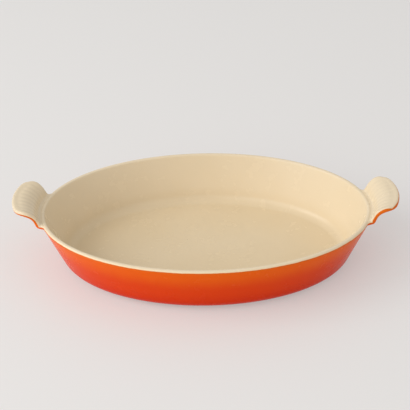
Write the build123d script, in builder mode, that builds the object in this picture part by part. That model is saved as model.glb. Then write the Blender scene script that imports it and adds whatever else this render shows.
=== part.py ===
"""An oval gratin dish in enamelled cast iron, with two fluted lugs to lift it by.

Millimetres, +Z up, +X along the dish towards a lug. The origin is on the table, under the middle.
"""
import os
from math import asin, atan2, cos, degrees, hypot, radians, sin, tan

from build123d import *

# The finished dish, measured over its enamel
rim_length = 320.0
rim_width = 214.0
rim_height = 55.3
base_length = 277.5
base_width = 183.0
base_round = 15.0
wall = 4.6
floor_top = 6.2
floor_round = 11.0

# The foot ring, whose face is left bare and rests on the table
foot_height = 1.5
foot_width = 5.0
foot_inset = 15.0

# The lugs: each rises from the rim, bends outwards and ends in a level, round-tipped grip
lug_reach = 25.5
lug_width = 61.8
lug_root_width = 57.0
lug_top = 70.8
lug_thickness = 5.0
lug_slope = 73.0
lug_bend = 18.0
lug_tip_radius = 56.0
lug_corner = 14.0
lug_edge_round = 1.7
crease_depth = 2.5
crease_gap = 0.4
chin_depth = 1.0
chin_round = 4.0
gusset_height = 6.5

# The grip's face: a plain border round a shallow hollow that holds the ribs
border = 5.0
hollow_depth = 0.9
rib_count = 8
rib_pitch = 6.1
rib_width = 4.8
rib_height = 0.75
rib_end_gap = 1.2

# The enamel: a thin ground coat all over the iron, and a cover coat on top of it
ground_thickness = 0.2
cover_thickness = 0.4
# How far the cream cover coat comes down outside the rim, and down the edge of a lug
rim_band = 1.7
lug_band = 1.2

# How far a cutting or trimming solid runs past what it cuts
overrun = 4.0

# The shape of the rim's top: how much of the wall's thickness each of its two edges is rounded by
rim_round_share = 0.45
# A face counts as upright if its normal rises by less than this share of its length
upright_share = 0.001
# How far the space for the cream coat runs past the rim and past a lug's sides
band_margin = 0.3

rim_round = rim_round_share * wall
# The oval's end is an arc of this radius, about this upright line
rim_end = rim_length / 2
end_radius = rim_width**2 / (2 * rim_length)
end_centre = rim_end - end_radius
lug_tip = rim_end + lug_reach
crease_level = rim_height - crease_depth
# Half the angle about that line that holds the whole lug
lug_swing = degrees(asin((lug_width / 2 + overrun) / end_radius))

# A rib is the top of a rod of this radius, sunk this deep beneath the lug's finished border
rib_radius = (rib_width**2 / 4 + rib_height**2) / (2 * rib_height)
rib_depth = hollow_depth + rib_radius - rib_height
# The ribs fan out, a pitch apart at half their reach
rib_turn = degrees(rib_pitch / (end_radius + lug_reach / 2))


def wall_face(rim_half, base_half, level, depth):
    """Half the pan's size at a height, `depth` inside its wall, which grazes the rim's rounding."""
    out = rim_half - rim_round - base_half
    up = rim_height - rim_round - foot_height
    lean = atan2(out, up) + asin(rim_round / hypot(out, up))
    return base_half + (level - foot_height) * tan(lean) - depth / cos(lean)


def wall_oval(level, depth):
    """The two half sizes of the pan's oval at a height, `depth` inside its wall."""
    return (
        wall_face(rim_length / 2, base_length / 2, level, depth),
        wall_face(rim_width / 2, base_width / 2, level, depth),
    )


def steep_face(level, depth):
    """How far from the end's centre the lug's steep face is at a height, `depth` inside it."""
    slope = radians(lug_slope)
    return end_radius + crease_gap + (level - crease_level) / tan(slope) + depth / sin(slope)


def pan_form(under):
    """The open oval pan on its foot ring, `under` beneath the finished surface."""
    inner_floor = floor_top - under
    inner_depth = wall - under
    rim = rim_height - under
    with BuildPart() as cavity:
        with BuildSketch(Plane.XY.offset(inner_floor)):
            Ellipse(*wall_oval(inner_floor, inner_depth))
        with BuildSketch(Plane.XY.offset(rim)):
            Ellipse(*wall_oval(rim, inner_depth))
        loft(ruled=True)
        fillet(cavity.faces().sort_by(Axis.Z)[0].edges(), floor_round + under)

    base = foot_height + under
    foot_x = base_length / 2 - foot_inset
    foot_y = base_width / 2 - foot_inset
    with BuildPart() as pan:
        with BuildSketch(Plane.XY.offset(base)):
            Ellipse(*wall_oval(base, under))
        with BuildSketch(Plane.XY.offset(rim)):
            Ellipse(*wall_oval(rim, under))
        loft(ruled=True)
        fillet(pan.faces().sort_by(Axis.Z)[0].edges(), base_round - under)
        add(cavity.part, mode=Mode.SUBTRACT)
        fillet(pan.faces().sort_by(Axis.Z)[-1].edges(), rim_round - under)
        with BuildSketch():
            Ellipse(foot_x - under, foot_y - under)
            Ellipse(foot_x - foot_width + under, foot_y - foot_width + under, mode=Mode.SUBTRACT)
        extrude(amount=base)
    return pan.part


def lug_plan(under, inset):
    """The +X lug's outline from above, `inset` inside its edge, back to the end's centre."""
    shrink = under + inset
    widening = (lug_width - lug_root_width) / 2 / (lug_reach - lug_corner)
    near_side = lug_root_width / 2 - shrink - end_radius * widening
    far_side = lug_root_width / 2 - shrink + lug_reach * widening
    with BuildSketch() as plan:
        with Locations((lug_tip - lug_tip_radius, 0)):
            Circle(lug_tip_radius - shrink)
        with BuildLine():
            Polyline(
                (end_centre, -near_side),
                (end_centre, near_side),
                (lug_tip, far_side),
                (lug_tip, -far_side),
                close=True,
            )
        make_face(mode=Mode.INTERSECT)
        fillet(plan.vertices().group_by(Axis.X)[-1], lug_corner - shrink)
    return plan.sketch


def upright_plane(swing):
    """The upright plane through the end's centre, turned from the XZ plane, with X leading outwards."""
    outwards = Vector(1, 0, 0).rotate(Axis.Z, swing)
    return Plane((end_centre, 0, 0), x_dir=outwards, z_dir=outwards.cross(Vector(0, 0, 1)))


def lug_solid(profile, corners, outline):
    """A solid that follows the pan's +X end: a profile, rounded at its corners, cut to an outline."""
    with BuildPart() as solid:
        with BuildSketch(upright_plane(-lug_swing)) as side:
            with BuildLine():
                Polyline(*profile, close=True)
            make_face()
            for corner, radius in corners:
                fillet(side.vertices().sort_by_distance(corner)[0], radius)
        revolve(axis=Axis((end_centre, 0, 0), (0, 0, 1)), revolution_arc=2 * lug_swing)
        add(outline)
        extrude(amount=lug_top + overrun, mode=Mode.INTERSECT)
    return solid.part


def lug_plate(under):
    """The +X lug without its ribbed hollow, with its root inside the pan's wall."""
    top = lug_top - under
    underside = lug_top - lug_thickness + under
    chin = crease_level - chin_depth
    gusset = rim_height - gusset_height
    tip = end_radius + lug_reach + overrun
    root_high = wall_face(rim_length / 2, base_length / 2, crease_level, wall / 2) - end_centre
    root_low = wall_face(rim_length / 2, base_length / 2, gusset, wall / 2) - end_centre
    top_bend = (steep_face(top, under), top)
    low_bend = (steep_face(underside, lug_thickness - under), underside)
    chin_point = (steep_face(chin, lug_thickness - under), chin)
    profile = (
        (root_high, crease_level - crease_depth),
        (steep_face(crease_level, under), crease_level),
        top_bend,
        (tip, top),
        (tip, underside),
        low_bend,
        chin_point,
        (root_low, gusset + under),
    )
    corners = (
        (top_bend, lug_bend - under),
        (low_bend, lug_bend - lug_thickness + under),
        (chin_point, chin_round - under),
    )
    blank = lug_solid(profile, corners, lug_plan(under, 0))
    with BuildPart() as plate:
        add(blank)
        upright = plate.faces().filter_by(lambda face: abs(face.normal_at().Z) < upright_share)
        edges = upright.edges().filter_by(Axis.Z, reverse=True)
        fillet(edges.filter_by_position(Axis.Z, crease_level + crease_depth / 2, lug_top), lug_edge_round - under)
    return plate.part


def rib_rod(under, swing):
    """The rod whose top is one rib, up the lug's face and cut short of its border."""
    level = lug_top - rib_depth
    foot = crease_level - overrun
    path_points = (
        (steep_face(foot, rib_depth), foot),
        (steep_face(level, rib_depth), level),
        (end_radius + lug_reach, level),
    )
    outline = Pos(-rib_end_gap - 2 * under, 0, 0) * lug_plan(-under, border)
    with BuildPart() as rod:
        with BuildLine(upright_plane(swing)) as path:
            FilletPolyline(*path_points, radius=lug_bend - rib_depth)
        with BuildSketch(Plane(path.line @ 0, z_dir=path.line % 0)):
            Circle(rib_radius - under)
        sweep(path=path.line)
        add(outline)
        extrude(amount=lug_top + overrun, mode=Mode.INTERSECT)
    return rod.part


def rib_hollow(under):
    """The hollow in the +X lug's face, down to its floor and round the ribs that stand in it."""
    depth = hollow_depth + under
    floor = lug_top - depth
    foot = crease_level - overrun
    tip = end_radius + lug_reach
    high = lug_top + overrun
    bend = (steep_face(floor, depth), floor)
    profile = (
        (steep_face(foot, -overrun), foot),
        (steep_face(high, -overrun), high),
        (tip, high),
        (tip, floor),
        bend,
        (steep_face(foot, depth), foot),
    )
    blank = lug_solid(profile, ((bend, lug_bend - depth),), lug_plan(-under, border))
    rods = [rib_rod(under, (number - (rib_count - 1) / 2) * rib_turn) for number in range(rib_count)]
    with BuildPart() as hollow:
        add(blank)
        for rod in rods:
            add(rod, mode=Mode.SUBTRACT)
    return hollow.part


def dish_form(under):
    """The pan and its two lugs as one, `under` beneath the finished surface."""
    pan = pan_form(under)
    plate = lug_plate(under)
    hollow = rib_hollow(under)
    with BuildPart() as lug:
        add(plate)
        add(hollow, mode=Mode.SUBTRACT)
    with BuildPart() as dish:
        add(pan)
        add(lug.part)
        mirror(lug.part, about=Plane.YZ)
    return dish.part


def cream_space():
    """The space that the cream enamel may fill: the dish's inside, its rim and its lugs' faces."""
    floor_level = (foot_height + floor_top) / 2
    foot = crease_level - lug_band
    top = lug_top - lug_band
    high = lug_top + overrun
    bend = (steep_face(top, lug_band), top)
    root = wall_face(rim_length / 2, base_length / 2, crease_level, wall / 2) - end_centre
    tip = end_radius + lug_reach + overrun
    profile = (
        (root, foot),
        (steep_face(foot, lug_band), foot),
        bend,
        (tip, top),
        (tip, high),
        (root, high),
    )
    lug_face = lug_solid(profile, ((bend, lug_bend - lug_band),), lug_plan(-band_margin, 0))
    with BuildPart() as space:
        with BuildSketch(Plane.XY.offset(floor_level)):
            Ellipse(*wall_oval(floor_level, wall / 2))
        with BuildSketch(Plane.XY.offset(rim_height)):
            Ellipse(*wall_oval(rim_height, wall / 2))
        loft(ruled=True)
        fillet(space.faces().sort_by(Axis.Z)[0].edges(), (floor_round + base_round) / 2)
        with BuildSketch(Plane.XY.offset(rim_height - rim_band)):
            Ellipse(rim_length / 2 + band_margin, rim_width / 2 + band_margin)
        extrude(amount=rim_band)
        add(lug_face)
        mirror(lug_face, about=Plane.YZ)
    return space.part


finished_form = dish_form(0)
ground_form = dish_form(cover_thickness)
iron_form = dish_form(cover_thickness + ground_thickness)
cream = cream_space()

# One iron pour: floor, wall, foot ring and both lugs
with BuildPart() as iron_casting:
    add(iron_form)

# The foot ring's bare face parts each coat in two, and the smaller is the one inside the ring
with BuildPart() as ground:
    add(ground_form)
    add(iron_form, mode=Mode.SUBTRACT)
base_ground, side_ground = ground.part.solids().sort_by(SortBy.VOLUME)

with BuildPart() as cover:
    add(finished_form)
    add(ground_form, mode=Mode.SUBTRACT)
base_cover, side_cover = cover.part.solids().sort_by(SortBy.VOLUME)

with BuildPart() as ground_coat:
    add(side_ground)

with BuildPart() as base_ground_coat:
    add(base_ground)

with BuildPart() as inside_enamel:
    add(side_cover)
    add(cream, mode=Mode.INTERSECT)

with BuildPart() as outside_enamel:
    add(side_cover)
    add(cream, mode=Mode.SUBTRACT)

with BuildPart() as base_enamel:
    add(base_cover)

iron_casting.part.label = "iron_casting"
ground_coat.part.label = "ground_coat"
base_ground_coat.part.label = "base_ground_coat"
inside_enamel.part.label = "inside_enamel"
outside_enamel.part.label = "outside_enamel"
base_enamel.part.label = "base_enamel"

os.makedirs("parts", exist_ok=True)
export_step(iron_casting.part, "parts/iron_casting.step")
export_step(ground_coat.part, "parts/ground_coat.step")
export_step(base_ground_coat.part, "parts/base_ground_coat.step")
export_step(inside_enamel.part, "parts/inside_enamel.step")
export_step(outside_enamel.part, "parts/outside_enamel.step")
export_step(base_enamel.part, "parts/base_enamel.step")
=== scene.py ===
"""Dresses an oval gratin dish in enamelled cast iron and stands it on a pale studio floor.

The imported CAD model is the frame. The pan's enamel is built ring by ring, and the lugs' enamel is drawn over
a copy of the casting. Lengths are in metres, +Z is up and +X leads along the dish.
"""
import logging
import math
from collections.abc import Callable, Iterable
from dataclasses import dataclass, field
from enum import Enum

import bpy
from mathutils import Matrix, Vector

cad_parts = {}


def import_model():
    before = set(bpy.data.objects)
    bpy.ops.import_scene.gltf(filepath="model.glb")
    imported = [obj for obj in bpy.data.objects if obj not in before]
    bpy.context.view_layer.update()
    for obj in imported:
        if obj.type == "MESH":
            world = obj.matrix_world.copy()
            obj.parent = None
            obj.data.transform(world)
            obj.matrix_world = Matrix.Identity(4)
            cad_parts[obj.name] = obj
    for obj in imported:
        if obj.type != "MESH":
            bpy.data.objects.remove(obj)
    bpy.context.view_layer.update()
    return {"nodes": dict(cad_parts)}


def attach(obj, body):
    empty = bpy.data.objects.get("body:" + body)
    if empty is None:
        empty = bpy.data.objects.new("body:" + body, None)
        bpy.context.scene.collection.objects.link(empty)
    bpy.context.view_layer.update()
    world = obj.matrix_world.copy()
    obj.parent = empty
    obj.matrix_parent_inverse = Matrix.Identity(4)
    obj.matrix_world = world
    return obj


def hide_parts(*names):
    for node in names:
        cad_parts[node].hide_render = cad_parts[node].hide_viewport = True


LOG = logging.getLogger("gratin_dish")

MM = 0.001
NOISE_MIDDLE = 0.5
# The Mix node's sockets for colours share their names with those for numbers, so they are told by number.
MIX_INPUTS = (0, 6, 7)
MIX_RESULT = 2

Colour = tuple[float, float, float, float]
Ring = tuple[float, float, float]
Place = tuple[float, float, float]
Plane = tuple[Place, Place]
Stop = tuple[float, float]
ColourStop = tuple[float, Colour]


class End(Enum):
    """The end of the dish that a lug stands on."""

    EAST = 1
    WEST = -1


def srgb(red: int, green: int, blue: int) -> Colour:
    """Turns a display colour into a linear one.

    Args:
        red: Red, 0 to 255.
        green: Green, 0 to 255.
        blue: Blue, 0 to 255.

    Returns:
        The linear colour with full alpha.
    """

    def linear(channel: int) -> float:
        """Turns one channel into a linear share."""
        share = channel / 255
        return share / 12.92 if share <= 0.04045 else ((share + 0.055) / 1.055) ** 2.4

    return (linear(red), linear(green), linear(blue), 1.0)


def deselect_all() -> None:
    """Leaves edit mode and deselects every object."""
    if bpy.context.object and bpy.context.object.mode != "OBJECT":
        bpy.ops.object.mode_set(mode="OBJECT")
    bpy.ops.object.select_all(action="DESELECT")


def select_only(piece: bpy.types.Object) -> None:
    """Selects one object, and makes it the active one.

    Args:
        piece: The object to select.
    """
    deselect_all()
    piece.select_set(True)
    bpy.context.view_layer.objects.active = piece


def edit(piece: bpy.types.Object) -> None:
    """Opens one object in edit mode with all of it selected.

    Args:
        piece: The object to edit.
    """
    select_only(piece)
    bpy.ops.object.mode_set(mode="EDIT")
    bpy.ops.mesh.select_all(action="SELECT")


def apply_modifier(piece: bpy.types.Object, kind: str, **settings: object) -> None:
    """Adds a modifier to a piece and applies it.

    Args:
        piece: The piece to change.
        kind: Blender's type name of the modifier.
        **settings: Values for the modifier's own properties.
    """
    select_only(piece)
    modifier = piece.modifiers.new(kind.title(), kind)
    for name, value in settings.items():
        setattr(modifier, name, value)
    bpy.ops.object.modifier_apply(modifier=modifier.name)


def combine(piece: bpy.types.Object, tool: bpy.types.Object, operation: str) -> None:
    """Joins a solid to a piece or cuts it out of the piece, and removes the solid."""
    apply_modifier(piece, "BOOLEAN", operation=operation, solver="EXACT", object=tool)
    bpy.data.objects.remove(tool)


def cut_away(piece: bpy.types.Object, planes: Iterable[Plane]) -> None:
    """Cuts off what lies beyond each plane and closes the cuts.

    Args:
        piece: The piece to cut.
        planes: A point on each plane, and the direction of what goes.
    """
    edit(piece)
    for place, outwards in planes:
        bpy.ops.mesh.select_all(action="SELECT")
        bpy.ops.mesh.bisect(plane_co=place, plane_no=outwards, use_fill=True, clear_outer=True)
    bpy.ops.object.mode_set(mode="OBJECT")


def start_ring(ring: Ring, segments: int, fill: str) -> bpy.types.Object:
    """Starts a piece with an oval ring and leaves it open in edit mode.

    Args:
        ring: Half the ring's size along X and along Y, and its height.
        segments: How many points it has.
        fill: Blender's name of what fills it.

    Returns:
        The new piece.
    """
    deselect_all()
    middle = (0, 0, ring[2])
    bpy.ops.mesh.primitive_circle_add(vertices=segments, radius=1.0, fill_type=fill, location=middle)
    piece = bpy.context.object
    edit(piece)
    bpy.ops.transform.resize(value=(ring[0], ring[1], 1.0))
    return piece


def draw_ring(before: Ring, ring: Ring) -> None:
    """Extrudes the selected ring to the next one's height and size.

    Args:
        before: The selected ring.
        ring: The next ring.
    """
    bpy.ops.mesh.extrude_region_move(TRANSFORM_OT_translate={"value": (0, 0, ring[2] - before[2])})
    size = (ring[0] / before[0], ring[1] / before[1], 1.0)
    bpy.ops.transform.resize(value=size, center_override=(0, 0, ring[2]))


def end_rings() -> None:
    """Turns the faces of the piece in edit mode outwards and leaves edit mode."""
    bpy.ops.mesh.select_all(action="SELECT")
    bpy.ops.mesh.normals_make_consistent(inside=False)
    bpy.ops.object.mode_set(mode="OBJECT")


def settle(piece: bpy.types.Object, name: str, finish: bpy.types.Material) -> bpy.types.Object:
    """Gives a piece its material and name, moves its place into its mesh and smooths its shading.

    Args:
        piece: The finished piece.
        name: Its name in the scene.
        finish: Its material.

    Returns:
        The same piece.
    """
    piece.data.materials.append(finish)
    select_only(piece)
    bpy.ops.object.transform_apply(location=True, rotation=True, scale=True)
    bpy.ops.object.shade_smooth()
    piece.name = name
    piece.data.name = name
    return piece


def dress_node(node: bpy.types.Object, finish: bpy.types.Material) -> None:
    """Gives a CAD node its material."""
    node.data.materials.clear()
    node.data.materials.append(finish)


@dataclass(frozen=True)
class DishSizes:
    """The finished dish's own sizes, in metres."""

    rim_half_x: float = 160.0 * MM
    rim_half_y: float = 107.0 * MM
    rim_height: float = 55.3 * MM
    base_half_x: float = 138.75 * MM
    base_half_y: float = 91.5 * MM
    base_round: float = 15.0 * MM
    wall: float = 4.6 * MM
    rim_round: float = 2.07 * MM
    floor_top: float = 6.2 * MM
    floor_round: float = 11.0 * MM
    foot_height: float = 1.5 * MM
    foot_inset: float = 15.0 * MM
    rim_band: float = 1.7 * MM
    cream_drop: float = 3.2 * MM
    lug_top: float = 70.8 * MM
    lug_bend: float = 18.0 * MM
    lug_half_width: float = 30.9 * MM
    lug_root_half: float = 28.5 * MM
    lug_tip_radius: float = 56.0 * MM
    lug_tip_centre: float = 129.5 * MM
    lug_slope: float = math.radians(73.0)
    crease_gap: float = 0.4 * MM

    @property
    def end_radius(self) -> float:
        """The radius of the arc that the oval's end follows."""
        return self.rim_half_y**2 / self.rim_half_x

    @property
    def end_centre(self) -> float:
        """How far along X that arc's centre is."""
        return self.rim_half_x - self.end_radius

    def lean(self, rim_half: float, base_half: float) -> float:
        """The wall's lean from upright, where it grazes the rim's rounding.

        Args:
            rim_half: Half the rim's size along one axis.
            base_half: Half the base's size along the same axis.

        Returns:
            The angle in radians.
        """
        out = rim_half - self.rim_round - base_half
        up = self.rim_height - self.rim_round - self.foot_height
        return math.atan2(out, up) + math.asin(self.rim_round / math.hypot(out, up))

    def outer_half(self, rim_half: float, base_half: float, level: float) -> float:
        """Half the pan's outer size along one axis at a height.

        Args:
            rim_half: Half the rim's size along that axis.
            base_half: Half the base's size along that axis.
            level: The height.

        Returns:
            The half size.
        """
        lean = self.lean(rim_half, base_half)
        base_arc = self.foot_height + self.base_round
        rim_arc = self.rim_height - self.rim_round
        if level < base_arc - self.base_round * math.sin(lean):
            centre = base_half + self.base_round * math.tan(lean) - self.base_round / math.cos(lean)
            return centre + math.sqrt(max(0.0, self.base_round**2 - (base_arc - level) ** 2))
        if level > rim_arc - self.rim_round * math.sin(lean):
            return rim_half - self.rim_round + math.sqrt(max(0.0, self.rim_round**2 - (level - rim_arc) ** 2))
        return base_half + (level - self.foot_height) * math.tan(lean)

    def inner_half(self, rim_half: float, base_half: float, level: float) -> float:
        """Half the pan's inner size along one axis at a height.

        Args:
            rim_half: Half the rim's size along that axis.
            base_half: Half the base's size along that axis.
            level: The height.

        Returns:
            The half size.
        """
        lean = self.lean(rim_half, base_half)
        floor_arc = self.floor_top + self.floor_round
        rim_arc = self.rim_height - self.rim_round

        def face(height: float) -> float:
            """Half the size to the wall's straight inner face."""
            return base_half + (height - self.foot_height) * math.tan(lean) - self.wall / math.cos(lean)

        if level < floor_arc - self.floor_round * math.sin(lean):
            centre = face(floor_arc) - self.floor_round / math.cos(lean)
            return centre + math.sqrt(max(0.0, self.floor_round**2 - (floor_arc - level) ** 2))
        if level > rim_arc + self.rim_round * math.sin(lean):
            centre = face(rim_arc) + self.rim_round / math.cos(lean)
            return centre - math.sqrt(max(0.0, self.rim_round**2 - (level - rim_arc) ** 2))
        return face(level)

    def ring(self, half: Callable[[float, float, float], float], level: float) -> Ring:
        """One of the pan's ovals.

        Args:
            half: What gives half its size along one axis: outer_half or inner_half.
            level: Its height.

        Returns:
            Half its size along X and along Y, and its height.
        """
        along = half(self.rim_half_x, self.base_half_x, level)
        across = half(self.rim_half_y, self.base_half_y, level)
        return (along, across, level)

    def reach(self, point: Vector) -> float:
        """How far a point is from the centre of the nearer end's arc, seen from above."""
        return math.hypot(abs(point.x) - self.end_centre, point.y)

    def lug_depth(self, point: Vector) -> float:
        """How far a point is beneath the surface that a lug's face follows.

        Args:
            point: A point on or in a lug.

        Returns:
            The depth, below zero above the face.
        """
        reach = self.reach(point)
        arc_x = self.end_radius + self.crease_gap + self.lug_bend / math.sin(self.lug_slope)
        arc_z = self.lug_top - self.lug_bend
        if reach >= arc_x:
            return self.lug_top - point.z
        steep_x = -math.sin(self.lug_slope)
        steep_z = math.cos(self.lug_slope)
        out, up = reach - arc_x, point.z - arc_z
        if up < -out * steep_z / -steep_x:
            return self.lug_bend - (out * steep_x + up * steep_z)
        return self.lug_bend - math.hypot(out, up)

    def inside_outline(self, point: Vector) -> float:
        """How far a point is inside a lug's outline, seen from above, below zero outside it."""
        from_tip = self.lug_tip_radius - math.hypot(abs(point.x) - self.lug_tip_centre, point.y)
        return min(self.lug_half_width - abs(point.y), from_tip)


@dataclass(frozen=True)
class Grain:
    """One noise: its scale per metre, its octaves and how strong the finer ones are."""

    scale: float
    detail: float = 2.0
    roughness: float = 0.5


class Shader:
    """A material's or a group's node tree, with short ways to fill it."""

    def __init__(self, tree: bpy.types.NodeTree) -> None:
        """Keeps the tree and empties it."""
        self.tree = tree
        tree.nodes.clear()

    def feed(self, socket: bpy.types.NodeSocket, value: object) -> None:
        """Joins an input to an output, or sets it.

        Args:
            socket: The input.
            value: The output or the value.
        """
        if isinstance(value, bpy.types.NodeSocket):
            self.tree.links.new(value, socket)
        else:
            socket.default_value = value

    def node(self, kind: str, inputs: dict[str, object] | None = None, **settings: object) -> bpy.types.Node:
        """Adds a node.

        Args:
            kind: Blender's type name of the node.
            inputs: What feeds its inputs, by name.
            **settings: Values for the node's own properties.

        Returns:
            The node.
        """
        made = self.tree.nodes.new(kind)
        for name, value in settings.items():
            setattr(made, name, value)
        for name, value in (inputs or {}).items():
            self.feed(made.inputs[name], value)
        return made

    def coordinates(self) -> bpy.types.NodeSocket:
        """Reads the Object coordinates."""
        return self.node("ShaderNodeTexCoord").outputs["Object"]

    def math(
        self, operation: str, first: object, second: object = 0.0, third: object = 0.0, clamp: bool = False
    ) -> bpy.types.NodeSocket:
        """Adds a Math node.

        Args:
            operation: Its operation.
            first: A socket or a number.
            second: A socket or a number.
            third: A socket or a number.
            clamp: Whether the result is kept between 0 and 1.

        Returns:
            The node's output.
        """
        made = self.node("ShaderNodeMath", operation=operation, use_clamp=clamp)
        for socket, value in zip(made.inputs, (first, second, third)):
            self.feed(socket, value)
        return made.outputs[0]

    def between(self, value: bpy.types.NodeSocket, start: float, end: float) -> bpy.types.NodeSocket:
        """Tells how far a value has come from the start, as 0, to the end, as 1."""
        made = self.node("ShaderNodeMapRange", {"Value": value, "From Min": start, "From Max": end})
        return made.outputs["Result"]

    def ramp(self, factor: bpy.types.NodeSocket, stops: Iterable[ColourStop]) -> bpy.types.NodeSocket:
        """Adds a Color Ramp.

        Args:
            factor: What it reads.
            stops: Places and colours, in order.

        Returns:
            Its colour.
        """
        made = self.node("ShaderNodeValToRGB", {"Fac": factor})
        made.color_ramp.interpolation = "EASE"
        stops = list(stops)
        while len(made.color_ramp.elements) < len(stops):
            made.color_ramp.elements.new(1.0)
        for element, (place, colour) in zip(made.color_ramp.elements, stops):
            element.position = place
            element.color = colour
        return made.outputs["Color"]

    def fade(self, factor: bpy.types.NodeSocket, stops: Iterable[Stop]) -> bpy.types.NodeSocket:
        """Adds a Color Ramp that gives a share."""
        return self.ramp(factor, [(place, (share, share, share, 1.0)) for place, share in stops])

    def noise(self, grain: Grain) -> bpy.types.NodeSocket:
        """Adds a noise on Object coordinates."""
        inputs = {
            "Vector": self.coordinates(),
            "Scale": grain.scale,
            "Detail": grain.detail,
            "Roughness": grain.roughness,
        }
        return self.node("ShaderNodeTexNoise", inputs).outputs["Fac"]

    def sway(self, grain: Grain, swing: float, middle: object) -> bpy.types.NodeSocket:
        """Moves a value up and down by a noise times a swing."""
        centred = self.math("SUBTRACT", self.noise(grain), NOISE_MIDDLE)
        return self.math("MULTIPLY_ADD", centred, swing, middle)

    def mix(self, factor: object, first: object, second: object) -> bpy.types.NodeSocket:
        """Mixes two colours.

        Args:
            factor: A socket or a number.
            first: A socket or a colour.
            second: A socket or a colour.

        Returns:
            The mixed colour.
        """
        made = self.node("ShaderNodeMix", data_type="RGBA", blend_type="MIX")
        for number, value in zip(MIX_INPUTS, (factor, first, second)):
            self.feed(made.inputs[number], value)
        return made.outputs[MIX_RESULT]

    def principled(self, inputs: dict[str, object]) -> bpy.types.NodeSocket:
        """Adds a Principled shader, with what feeds its inputs by name."""
        return self.node("ShaderNodeBsdfPrincipled", inputs).outputs["BSDF"]

    def finish(self, surface: bpy.types.NodeSocket) -> None:
        """Ends a material with the shader of its surface."""
        self.node("ShaderNodeOutputMaterial", {"Surface": surface})


def new_material(name: str) -> bpy.types.Material:
    """Makes a material that uses nodes."""
    made = bpy.data.materials.new(name)
    made.use_nodes = True
    return made


@dataclass(frozen=True)
class EnamelSkin:
    """What all the enamels share: slow waves, a fine peel, a clouded gloss and pinholes."""

    peel: Grain = Grain(900.0)
    wave: Grain = Grain(55.0, 1.0)
    relief: float = 0.1 * MM
    cloud: Grain = Grain(70.0, 3.0, 0.6)
    cloud_depth: float = 0.12
    cells_per_metre: float = 38.0
    pinhole_size: float = 0.018
    pinhole_stir: float = 7.3
    bare_cells: float = 0.8

    def group(self) -> bpy.types.NodeTree:
        """Builds the group.

        Returns:
            The node group, with Peel, Wave and Roughness inputs and Roughness, Specks and Normal outputs.
        """
        group = bpy.data.node_groups.new("enamel_skin", "ShaderNodeTree")
        for name in ("Peel", "Wave", "Roughness"):
            group.interface.new_socket(name=name, in_out="INPUT", socket_type="NodeSocketFloat")
        for name, kind in (("Roughness", "Float"), ("Specks", "Float"), ("Normal", "Vector")):
            group.interface.new_socket(name=name, in_out="OUTPUT", socket_type=f"NodeSocket{kind}")
        shader = Shader(group)
        given = shader.node("NodeGroupInput").outputs
        peel = shader.math("MULTIPLY", shader.noise(self.peel), given["Peel"])
        wave = shader.math("MULTIPLY", shader.noise(self.wave), given["Wave"])
        height = shader.math("ADD", peel, wave)
        bump = shader.node("ShaderNodeBump", {"Strength": 1.0, "Distance": self.relief, "Height": height})
        cells_inputs = {"Vector": shader.coordinates(), "Scale": self.cells_per_metre}
        cells = shader.node("ShaderNodeTexVoronoi", cells_inputs)
        near = shader.math("LESS_THAN", cells.outputs["Distance"], self.pinhole_size)
        stirred = shader.math("FRACT", shader.math("MULTIPLY", cells.outputs["Color"], self.pinhole_stir))
        pick = shader.math("GREATER_THAN", stirred, self.bare_cells)
        shader.node(
            "NodeGroupOutput",
            {
                "Roughness": shader.sway(self.cloud, self.cloud_depth, given["Roughness"]),
                "Specks": shader.math("MULTIPLY", near, pick),
                "Normal": bump.outputs["Normal"],
            },
        )
        return group


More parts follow.
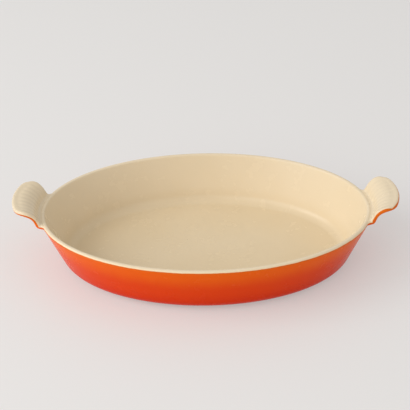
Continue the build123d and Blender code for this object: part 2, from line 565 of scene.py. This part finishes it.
@dataclass(frozen=True)
class EnamelFinish:
    """Cream enamel that meets flame enamel along a soft border, with the flame shading to red below."""

    name: str = "two_tone_enamel"
    cream: Colour = srgb(238, 222, 193)
    darker_cream: Colour = srgb(224, 202, 162)
    # Light peach at the border: partly the blend of flame over cream, partly a painted highlight along the
    # rounded edge.
    peach_blend_and_highlight: Colour = srgb(250, 205, 150)
    amber: Colour = srgb(176, 84, 30)
    flame: Colour = srgb(238, 98, 8)
    mid: Colour = srgb(226, 66, 6)
    red: Colour = srgb(212, 48, 8)
    edge: Colour = srgb(232, 112, 24)
    speck: Colour = srgb(90, 60, 40)
    flame_level: float = 50.0 * MM
    red_level: float = 4.0 * MM
    edge_level: float = 60.0 * MM
    floor_level: float = 8.0 * MM
    wall_level: float = 22.0 * MM
    drift: Grain = Grain(45.0)
    drift_depth: float = 7.0 * MM
    wobble: Grain = Grain(160.0, 3.0, 0.6)
    wobble_depth: float = 0.6 * MM
    border_span: float = 6.0 * MM
    border_middle: float = 0.5
    cream_stops: tuple[Stop, ...] = ((0.49, 0.0), (0.53, 1.0))
    amber_stops: tuple[Stop, ...] = ((0.40, 0.0), (0.47, 1.0), (0.51, 1.0), (0.54, 0.0))
    peach_blend_and_highlight_stops: tuple[Stop, ...] = ((0.53, 0.8), (0.66, 0.0))
    amber_share: float = 0.55
    stain: Grain = Grain(16.0)
    stain_share: float = 0.4
    floor_darkening: float = 0.35
    peel: float = 0.05
    wave: float = 0.5
    roughness: float = 0.26
    index: float = 1.5
    flame_shine: float = 0.06
    cream_shine: float = 0.28

    def material(self, skin: bpy.types.NodeTree) -> bpy.types.Material:
        """Builds the material.

        Args:
            skin: The enamel skin group.

        Returns:
            The material.
        """
        made = new_material(self.name)
        shader = Shader(made.node_tree)
        skin_inputs = {"Peel": self.peel, "Wave": self.wave, "Roughness": self.roughness}
        coat = shader.node("ShaderNodeGroup", skin_inputs, node_tree=skin).outputs
        height = shader.node("ShaderNodeSeparateXYZ", {"Vector": shader.coordinates()}).outputs["Z"]

        drifting = shader.sway(self.drift, self.drift_depth, height)
        up_wall = shader.between(drifting, self.red_level, self.flame_level)
        flame = shader.ramp(up_wall, ((0.0, self.red), (0.5, self.mid), (1.0, self.flame)))
        flame = shader.mix(shader.between(height, self.flame_level, self.edge_level), flame, self.edge)

        border = shader.node("ShaderNodeAttribute", attribute_name="border").outputs["Fac"]
        wobbling = shader.sway(self.wobble, self.wobble_depth, border)
        across = shader.math("MULTIPLY_ADD", wobbling, 1.0 / self.border_span, self.border_middle, clamp=True)
        cream_share = shader.fade(across, self.cream_stops)

        # The cream turns darker and yellower down the inner wall towards the floor, added on top of the patchy
        # stains.
        down_wall = shader.between(height, self.wall_level, self.floor_level)
        towards_floor_darkening = shader.math("MULTIPLY", down_wall, self.floor_darkening)
        stain = shader.math("MULTIPLY_ADD", shader.noise(self.stain), self.stain_share, towards_floor_darkening)
        cream = shader.mix(stain, self.cream, self.darker_cream)
        # A thin peach band just inside the cream along the border: partly the blend of the two enamels, partly
        # a painted highlight where the border runs over the rounded rim and lug edges.
        cream = shader.mix(shader.fade(across, self.peach_blend_and_highlight_stops), cream, self.peach_blend_and_highlight)
        cream = shader.mix(coat["Specks"], cream, self.speck)

        line = shader.math("MULTIPLY", shader.fade(across, self.amber_stops), self.amber_share)
        shine = shader.math("MULTIPLY_ADD", cream_share, self.cream_shine, self.flame_shine)
        surface = shader.principled(
            {
                "Base Color": shader.mix(line, shader.mix(cream_share, flame, cream), self.amber),
                "IOR": self.index,
                "Specular IOR Level": shine,
                "Roughness": coat["Roughness"],
                "Normal": coat["Normal"],
            }
        )
        shader.finish(surface)
        return made


@dataclass(frozen=True)
class PlainEnamelFinish:
    """One colour of enamel with the shared skin, clouded a little."""

    name: str
    colour: Colour
    cloud: Colour
    roughness: float = 0.3
    shine: float = 0.5
    peel: float = 0.2
    wave: float = 0.5
    clouding: Grain = Grain(60.0, 4.0, 0.6)

    def material(self, skin: bpy.types.NodeTree) -> bpy.types.Material:
        """Builds the material.

        Args:
            skin: The enamel skin group.

        Returns:
            The material.
        """
        made = new_material(self.name)
        shader = Shader(made.node_tree)
        skin_inputs = {"Peel": self.peel, "Wave": self.wave, "Roughness": self.roughness}
        coat = shader.node("ShaderNodeGroup", skin_inputs, node_tree=skin).outputs
        surface = shader.principled(
            {
                "Base Color": shader.mix(shader.noise(self.clouding), self.colour, self.cloud),
                "Specular IOR Level": self.shine,
                "Roughness": coat["Roughness"],
                "Normal": coat["Normal"],
            }
        )
        shader.finish(surface)
        return made


GROUND_BROWN = PlainEnamelFinish("ground_brown", srgb(70, 46, 36), srgb(52, 34, 28), roughness=0.45)
BASE_FLAME = PlainEnamelFinish("base_flame", srgb(212, 48, 8), srgb(198, 42, 10), shine=0.06)


@dataclass(frozen=True)
class BareIronFinish:
    """Bare cast iron: dark grey, pitted and matt."""

    name: str = "bare_iron"
    dark: Colour = srgb(58, 55, 53)
    light: Colour = srgb(98, 94, 90)
    mottle: Grain = Grain(120.0, 4.0)
    pits: Grain = Grain(700.0, 5.0, 0.65)
    pit_depth: float = 0.15 * MM
    metallic: float = 0.85
    roughness: float = 0.45
    roughness_swing: float = 0.25

    def material(self) -> bpy.types.Material:
        """Builds the material.

        Returns:
            The material.
        """
        made = new_material(self.name)
        shader = Shader(made.node_tree)
        pits = shader.noise(self.pits)
        bump = shader.node("ShaderNodeBump", {"Distance": self.pit_depth, "Height": pits})
        surface = shader.principled(
            {
                "Base Color": shader.mix(shader.noise(self.mottle), self.dark, self.light),
                "Metallic": self.metallic,
                "Roughness": shader.math("MULTIPLY_ADD", pits, self.roughness_swing, self.roughness),
                "Normal": bump.outputs["Normal"],
            }
        )
        shader.finish(surface)
        return made


@dataclass
class PanEnamel:
    """The enamel over the pan, outside, rim and inside, built as rings from the foot ring to the floor."""

    sizes: DishSizes
    segments: int = 160
    wall_rings: int = 10
    corner_rings: int = 12
    corner_turn: float = 7.0
    rim_turns: tuple[float, ...] = (-18.0, -6.0, 6.0, 18.0, 30.0, 42.0, 54.0, 66.0, 78.0, 90.0)
    outside_turns: int = 2
    rim_start: float = 1.6
    foot_step: float = 1.0 * MM
    floor_shares: tuple[float, ...] = (0.97, 0.9, 0.78, 0.62, 0.44, 0.26, 0.1)
    skin_depth: float = 0.5 * MM

    def corner_levels(self, low: float, radius: float, steps: Iterable[int]) -> list[float]:
        """The heights of the rings round a lower corner of the wall, for steps that count from its lowest."""
        return [low + radius * (1 - math.cos(math.radians(self.corner_turn * step))) for step in steps]

    def wall_levels(self, start: float, end: float) -> list[float]:
        """The heights of the rings along the straight part of the wall, after the start and up to the end."""
        return [start + (end - start) * (step + 1) / self.wall_rings for step in range(self.wall_rings)]

    def rim_levels(self, turns: Iterable[float]) -> list[float]:
        """The heights of the rings over the rim, for turns in degrees above the middle of its rounding."""
        s = self.sizes
        return [s.rim_height - s.rim_round * (1 - math.sin(math.radians(turn))) for turn in turns]

    def rings(self) -> list[Ring]:
        """Works out the rings from the foot ring's outer edge up outside, over the rim and down inside.

        Returns:
            Half the size along X and along Y, and the height, of each ring.
        """
        s = self.sizes
        steps = range(self.corner_rings)
        outer = self.corner_levels(s.foot_height, s.base_round, steps)
        outer += self.wall_levels(outer[-1], s.rim_height - self.rim_start * s.rim_round)
        outer += self.rim_levels(self.rim_turns)
        inner = self.rim_levels(reversed(self.rim_turns[self.outside_turns:]))
        floor_corner = self.corner_levels(s.floor_top, s.floor_round, reversed(steps))
        inner += self.wall_levels(inner[-1], floor_corner[0])
        inner += floor_corner[1:]

        foot_x = s.base_half_x - s.foot_inset
        foot_y = s.base_half_y - s.foot_inset
        made: list[Ring] = [(foot_x, foot_y, 0.0), (foot_x, foot_y, 0.5 * s.foot_height)]
        made.append((foot_x + self.foot_step, foot_y + self.foot_step, s.foot_height))
        made += [s.ring(s.outer_half, level) for level in outer]
        made += [s.ring(s.inner_half, level) for level in inner]
        floor_x, floor_y, floor = made[-1]
        made += [(floor_x * share, floor_y * share, floor) for share in self.floor_shares]
        return made

    def build(self, finish: bpy.types.Material) -> bpy.types.Object:
        """Models the enamel.

        Args:
            finish: The enamel's material.

        Returns:
            The finished piece.
        """
        rings = self.rings()
        piece = start_ring(rings[0], self.segments, "NOTHING")
        for before, ring in zip(rings, rings[1:]):
            draw_ring(before, ring)
        bpy.ops.mesh.edge_face_add()
        bpy.ops.mesh.poke()
        end_rings()
        self.face_out(piece)
        apply_modifier(piece, "SUBSURF", levels=1, render_levels=1)
        apply_modifier(piece, "SOLIDIFY", thickness=self.skin_depth, offset=-1.0)
        self.mark_border(piece)
        return settle(piece, "pan_enamel", finish)

    def face_out(self, piece: bpy.types.Object) -> None:
        """Turns the open skin's faces towards the air.

        Args:
            piece: The skin, before it has a thickness.
        """
        middle = min(piece.data.polygons, key=lambda face: face.center.xy.length)
        if middle.normal.z < 0:
            edit(piece)
            bpy.ops.mesh.flip_normals()
            bpy.ops.object.mode_set(mode="OBJECT")

    def mark_border(self, piece: bpy.types.Object) -> None:
        """Stores how far each point is on the cream side of the border.

        Args:
            piece: The skin.
        """
        s = self.sizes
        border = piece.data.attributes.new("border", "FLOAT", "POINT")
        for number, vertex in enumerate(piece.data.vertices):
            x, y, z = vertex.co
            outer_x, outer_y, _ = s.ring(s.outer_half, min(z, s.rim_height))
            from_middle = math.hypot(x / (outer_x - s.wall / 2), y / (outer_y - s.wall / 2))
            inside = from_middle < 1.0 and z > s.floor_top - s.rim_round
            at_root = abs(y) < s.lug_root_half - s.rim_band and abs(x) > s.end_centre
            by_lug = at_root and z > s.rim_height - s.cream_drop
            border.data[number].value = s.wall if inside or by_lug else z - (s.rim_height - s.rim_band)


@dataclass
class LugEnamel:
    """The enamel over one lug, drawn over a copy of the casting that is cut off inside the pan's wall."""

    sizes: DishSizes
    end: End
    casting: bpy.types.Object
    half_width: float = 40.0 * MM
    low: float = 34.0 * MM
    inner: float = 124.0 * MM
    merge_gap: float = 0.005 * MM
    core_level: float = 30.0 * MM
    core_segments: int = 256
    voxel: float = 0.5 * MM
    soften: int = 6
    soften_face: int = 110
    soften_factor: float = 0.5
    edge_keep: float = 2.2 * MM
    face_depth: float = 2.4 * MM
    filler_radius: float = 1.8 * MM
    filler_drop: float = 2.5 * MM
    filler_reach: float = 9.0 * MM
    filler_turns: int = 240
    filler_sides: int = 16
    flare_grab: float = 1.3 * MM
    flare_turn: float = math.radians(3.2)
    flare_size: float = 8.0 * MM
    coat: float = 0.6 * MM
    coat_fade: float = 3.5 * MM
    root_cream: float = 3.5 * MM
    side_slope: float = 2.0
    cream_hangs: dict[End, float] = field(default_factory=lambda: {End.EAST: 0.6 * MM, End.WEST: 2.8 * MM})

    def build(self, finish: bpy.types.Material) -> bpy.types.Object:
        """Models the enamel.

        Args:
            finish: The enamel's material.

        Returns:
            The finished piece.
        """
        piece = self.copy_casting()
        inner, *sides = self.planes(self.inner, self.half_width)
        cut_away(piece, (inner, ((0, 0, self.low), (0, 0, -1)), *sides))
        combine(piece, self.wall_core(), "DIFFERENCE")
        combine(piece, self.crease_filler(), "UNION")
        apply_modifier(piece, "REMESH", mode="VOXEL", voxel_size=self.voxel)
        self.flare_sides(piece)
        apply_modifier(piece, "REMESH", mode="VOXEL", voxel_size=self.voxel)
        self.soften_ribs(piece)
        apply_modifier(piece, "SMOOTH", factor=self.soften_factor, iterations=self.soften)
        self.mark_coat(piece)
        apply_modifier(piece, "DISPLACE", strength=self.coat, mid_level=0.0, vertex_group="coat")
        self.mark_border(piece)
        return settle(piece, f"lug_enamel_{self.end.name.lower()}", finish)

    def copy_casting(self) -> bpy.types.Object:
        """Copies the casting, without its part in the frame, and joins up its loose triangles.

        Returns:
            The copy.
        """
        piece = self.casting.copy()
        piece.data = self.casting.data.copy()
        piece.data.materials.clear()
        piece.parent = None
        bpy.context.scene.collection.objects.link(piece)
        for key in [key for key in piece.keys() if key.startswith("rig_")]:
            del piece[key]
        edit(piece)
        bpy.ops.mesh.remove_doubles(threshold=self.merge_gap)
        bpy.ops.object.mode_set(mode="OBJECT")
        return piece

    def planes(self, along: float, half: float) -> tuple[Plane, ...]:
        """The planes that bound a lug's own stretch of the dish.

        Args:
            along: How far along the dish the stretch begins.
            half: Half its width.

        Returns:
            The inner plane and the two side planes.
        """
        side = self.end.value
        return (
            ((side * along, 0, 0), (-side, 0, 0)),
            ((0, half, 0), (0, 1, 0)),
            ((0, -half, 0), (0, -1, 0)),
        )

    def wall_core(self) -> bpy.types.Object:
        """Makes the oval solid that fills the pan up to the middle of its wall.

        Returns:
            The solid, to cut with.
        """
        s = self.sizes
        outer_x, outer_y, level = s.ring(s.outer_half, self.core_level)
        out_x = math.tan(s.lean(s.rim_half_x, s.base_half_x))
        out_y = math.tan(s.lean(s.rim_half_y, s.base_half_y))

        def oval(height: float) -> Ring:
            """The oval through the middle of the wall at a height, or where the wall would be."""
            rise = height - level
            return (outer_x - s.wall / 2 + rise * out_x, outer_y - s.wall / 2 + rise * out_y, height)

        bottom, top = oval(0.0), oval(s.rim_height + s.wall)
        core = start_ring(bottom, self.core_segments, "NGON")
        draw_ring(bottom, top)
        end_rings()
        return core

    def crease_filler(self) -> bpy.types.Object:
        """Makes the rod of enamel that lies in the crease between the rim and the lug.

        Returns:
            The rod.
        """
        s = self.sizes
        deselect_all()
        bpy.ops.mesh.primitive_torus_add(
            major_segments=self.filler_turns,
            minor_segments=self.filler_sides,
            major_radius=s.end_radius,
            minor_radius=self.filler_radius,
            location=(self.end.value * s.end_centre, 0, s.rim_height - self.filler_drop),
        )
        filler = bpy.context.object
        cut_away(filler, self.planes(s.rim_half_x - self.filler_reach, s.lug_root_half - s.rim_band))
        return filler

    def flare_sides(self, piece: bpy.types.Object) -> None:
        """Draws the foot of both sides out along the rim, so that they flow into it.

        Args:
            piece: The lug, remeshed.
        """
        s = self.sizes
        across = s.lug_root_half
        along = s.end_centre + math.sqrt(s.end_radius**2 - across**2)
        for side in (1, -1):
            corner = Vector((self.end.value * along, side * across, s.rim_height - s.rim_band))
            edit(piece)
            bpy.ops.mesh.select_all(action="DESELECT")
            bpy.ops.object.mode_set(mode="OBJECT")
            for vertex in piece.data.vertices:
                vertex.select = (vertex.co - corner).length < self.flare_grab
            bpy.ops.object.mode_set(mode="EDIT")
            bpy.ops.transform.rotate(
                value=-side * self.end.value * self.flare_turn,
                orient_axis="Z",
                center_override=(self.end.value * s.end_centre, 0, 0),
                use_proportional_edit=True,
                proportional_edit_falloff="SHARP",
                proportional_size=self.flare_size,
            )
            bpy.ops.object.mode_set(mode="OBJECT")

    def soften_ribs(self, piece: bpy.types.Object) -> None:
        """Smooths the lug's face inside its outline, so that the enamel lies soft over the ribs.

        Args:
            piece: The lug, remeshed.
        """
        s = self.sizes
        face = piece.vertex_groups.new(name="face")
        for vertex in piece.data.vertices:
            share = min(1.0, max(0.0, (s.inside_outline(vertex.co) - self.edge_keep) / self.edge_keep))
            past_rim = s.reach(vertex.co) - s.end_radius
            if s.lug_depth(vertex.co) < self.face_depth and past_rim > s.crease_gap and share > 0:
                face.add([vertex.index], share, "REPLACE")
        smoothing = {"factor": self.soften_factor, "iterations": self.soften_face, "vertex_group": "face"}
        apply_modifier(piece, "SMOOTH", **smoothing)

    def mark_coat(self, piece: bpy.types.Object) -> None:
        """Weighs how thick the coat is, down to nothing where the pan's own enamel takes over.

        Args:
            piece: The lug, remeshed.
        """
        s = self.sizes
        coat = piece.vertex_groups.new(name="coat")
        for vertex in piece.data.vertices:
            past_side = (abs(vertex.co.y) - s.lug_root_half - self.coat_fade) / self.coat_fade
            past_root = (s.rim_height - 2 * s.wall - vertex.co.z) / self.coat_fade
            coat.add([vertex.index], 1.0 - min(1.0, max(0.0, past_side, past_root)), "REPLACE")

    def mark_border(self, piece: bpy.types.Object) -> None:
        """Stores how far each point is on the cream side of the border.

        Args:
            piece: The lug's enamel.
        """
        border = piece.data.attributes.new("border", "FLOAT", "POINT")
        for number, vertex in enumerate(piece.data.vertices):
            border.data[number].value = self.cream_side(vertex.co)

    def cream_side(self, point: Vector) -> float:
        """How far a point is on the cream side of the border.

        Args:
            point: A point on the lug's enamel.

        Returns:
            The distance, below zero on the flame side.
        """
        s = self.sizes
        depth = s.lug_depth(point)
        value = self.cream_hangs[self.end] - depth
        if depth < self.face_depth:
            value += max(0.0, s.inside_outline(point) - self.edge_keep / 2)
        over_rim = point.z - (s.rim_height - s.rim_band)
        past_side = abs(point.y) - s.lug_root_half
        if over_rim < 0:
            value = min(value, point.z - (s.rim_height - s.cream_drop))
            value -= self.side_slope * max(0.0, past_side + s.crease_gap)
        past_rim = s.reach(point) - s.end_radius
        if past_rim < s.crease_gap:
            value = max(value, over_rim)
        corner = min(self.root_cream - past_rim, past_side + s.rim_band)
        return max(value, min(corner, over_rim))


@dataclass(frozen=True)
class Lamp:
    """A square lamp that is aimed at the dish."""

    name: str
    place: Place
    size: float
    power: float
    colour: tuple[float, float, float]
    aim: Place = (0.0, 0.0, 0.03)

    def hang(self) -> None:
        """Hangs the lamp."""
        deselect_all()
        bpy.ops.object.light_add(type="AREA", location=self.place)
        lamp = bpy.context.object
        lamp.name = self.name
        lamp.data.shape = "SQUARE"
        lamp.data.size = self.size
        lamp.data.energy = self.power
        lamp.data.color = self.colour
        lamp.rotation_euler = (Vector(self.aim) - Vector(self.place)).to_track_quat("-Z", "Y").to_euler()


@dataclass
class Studio:
    """A pale floor, soft lamps and the camera."""

    eye: Vector = field(default_factory=lambda: Vector((11.788, -837.943, 589.364)) * MM)
    right: Vector = field(default_factory=lambda: Vector((0.999834, 0.003140, -0.017962)))
    up: Vector = field(default_factory=lambda: Vector((0.013482, 0.535917, 0.844163)))
    focal_length: float = 90.2
    sensor_width: float = 36.0
    clip_start: float = 0.01
    floor_size: float = 8.0
    floor_colour: Colour = srgb(239, 238, 237)
    floor_roughness: float = 0.5
    floor_shine: float = 0.3
    paper_colour: Colour = srgb(228, 226, 224)
    paper_share: float = 0.45
    air_colour: Colour = (1.0, 0.98, 0.965, 1.0)
    air_strength: float = 0.61
    lamps: tuple[Lamp, ...] = (
        Lamp("key_lamp", (-2.0, -0.4, 1.25), 1.3, 19.5, (1.0, 0.98, 0.95)),
        Lamp("front_lamp", (-1.4, -1.6, 1.25), 2.0, 17.5, (1.0, 0.99, 0.98)),
    )

    def build(self) -> None:
        """Builds the whole studio."""
        self.build_floor()
        for lamp in self.lamps:
            lamp.hang()
        self.build_air()
        self.build_camera()

    def paper(self) -> bpy.types.Material:
        """Builds the floor's material, lit paper that glows a little for the camera and in reflections.

        Returns:
            The material.
        """
        made = new_material("studio_paper")
        shader = Shader(made.node_tree)
        lit = shader.principled(
            {
                "Base Color": self.floor_colour,
                "Roughness": self.floor_roughness,
                "Specular IOR Level": self.floor_shine,
            }
        )
        glow = shader.node("ShaderNodeEmission", {"Color": self.paper_colour}).outputs["Emission"]
        path = shader.node("ShaderNodeLightPath").outputs
        seen = shader.math("MAXIMUM", path["Is Camera Ray"], path["Is Glossy Ray"])
        seen = shader.math("MAXIMUM", seen, path["Is Transmission Ray"])
        shown = shader.node("ShaderNodeMixShader")
        for socket, value in zip(shown.inputs, (shader.math("MULTIPLY", seen, self.paper_share), lit, glow)):
            shader.feed(socket, value)
        shader.finish(shown.outputs["Shader"])
        return made

    def build_floor(self) -> None:
        """Lays the floor."""
        deselect_all()
        bpy.ops.mesh.primitive_plane_add(size=self.floor_size, location=(0, 0, 0))
        floor = bpy.context.object
        floor.name = "studio_floor"
        floor.data.materials.append(self.paper())

    def build_air(self) -> None:
        """Sets the world's light."""
        world = bpy.data.worlds.new("studio_air")
        bpy.context.scene.world = world
        world.use_nodes = True
        background = world.node_tree.nodes["Background"]
        background.inputs["Color"].default_value = self.air_colour
        background.inputs["Strength"].default_value = self.air_strength

    def build_camera(self) -> None:
        """Sets the camera where the photograph was taken from."""
        deselect_all()
        bpy.ops.object.camera_add()
        camera = bpy.context.object
        camera.name = "studio_camera"
        turn = Matrix((self.right, self.up, self.right.cross(self.up))).transposed()
        camera.matrix_world = Matrix.Translation(self.eye) @ turn.to_4x4()
        camera.data.sensor_width = self.sensor_width
        camera.data.lens = self.focal_length
        camera.data.clip_start = self.clip_start
        bpy.context.scene.camera = camera


def main() -> None:
    """Builds the dish's looks and the studio round it."""
    logging.basicConfig(level=logging.INFO, format="%(name)s: %(message)s")
    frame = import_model()
    nodes = frame["nodes"]
    bpy.context.scene.view_settings.view_transform = "Standard"
    sizes = DishSizes()
    skin = EnamelSkin().group()
    enamel = EnamelFinish().material(skin)
    ground = GROUND_BROWN.material(skin)
    dress_node(nodes["iron_casting"], BareIronFinish().material())
    dress_node(nodes["ground_coat"], ground)
    dress_node(nodes["base_ground_coat"], ground)
    dress_node(nodes["base_enamel"], BASE_FLAME.material(skin))

    pan = PanEnamel(sizes).build(enamel)
    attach(pan, "root")
    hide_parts("inside_enamel", "outside_enamel", "ground_coat")
    LOG.info("pan enamel: %d faces", len(pan.data.polygons))
    for end in End:
        lug = LugEnamel(sizes, end, nodes["iron_casting"]).build(enamel)
        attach(lug, "root")
        LOG.info("%s: %d faces", lug.name, len(lug.data.polygons))

    Studio().build()


if __name__ == "__main__":
    main()
